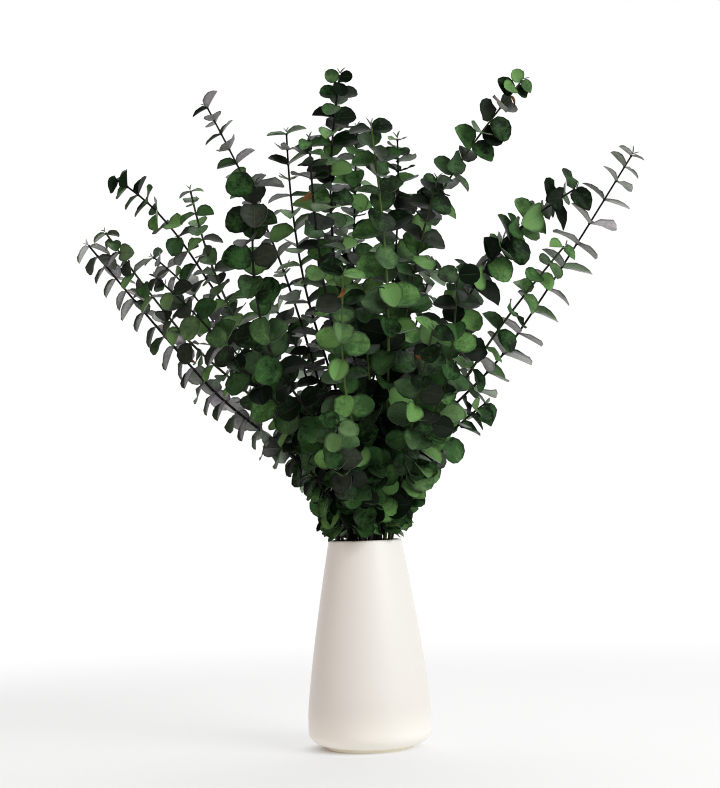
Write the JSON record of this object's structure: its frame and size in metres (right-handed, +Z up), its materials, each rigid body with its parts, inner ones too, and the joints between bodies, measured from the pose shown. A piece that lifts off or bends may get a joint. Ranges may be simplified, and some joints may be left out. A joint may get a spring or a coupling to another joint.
{
  "type": "eucalyptus branches in a ceramic vase",
  "caption": "Big airy bunch of leafy round-leaved eucalyptus branches, standing in a tall smooth cream ceramic vase that narrows to its mouth.",
  "frame": {"origin": "centre of the vase's flat foot, on the surface that it stands on", "axes": "+Z up along the vase's axis, +X to the right and -Y towards the viewer"},
  "size_m": [0.5134, 0.4009, 0.6461],
  "materials": {
    "vase_glaze": "satin cream glaze",
    "foliage": "preserved leaves, dark to mid green, slightly waxy, on dark thin stems"
  },
  "bodies": {
    "root": {"vase": "vase_glaze", "front_left_high": "foliage", "front_centre_high": "foliage", "front_left_inner": "foliage", "front_right_high": "foliage", "front_centre_low": "foliage", "front_right_low": "foliage", "front_left_low": "foliage", "front_lowest": "foliage", "near_right_lowest": "foliage", "far_left_lowest": "foliage", "far_left_high": "foliage", "far_left_middle": "foliage", "left_dark": "foliage", "left_middle": "foliage", "left_behind": "foliage", "centre_left_high": "foliage", "tallest": "foliage", "centre_thin": "foliage", "centre_right_high": "foliage", "centre_middle": "foliage", "right_inner": "foliage", "upper_right": "foliage", "far_right": "foliage", "right_middle": "foliage", "right_behind": "foliage", "right_low": "foliage", "right_lowest": "foliage", "back_centre": "foliage", "back_left": "foliage", "back_right": "foliage", "back_right_low": "foliage", "back_left_low": "foliage"}
  },
  "joints": []
}
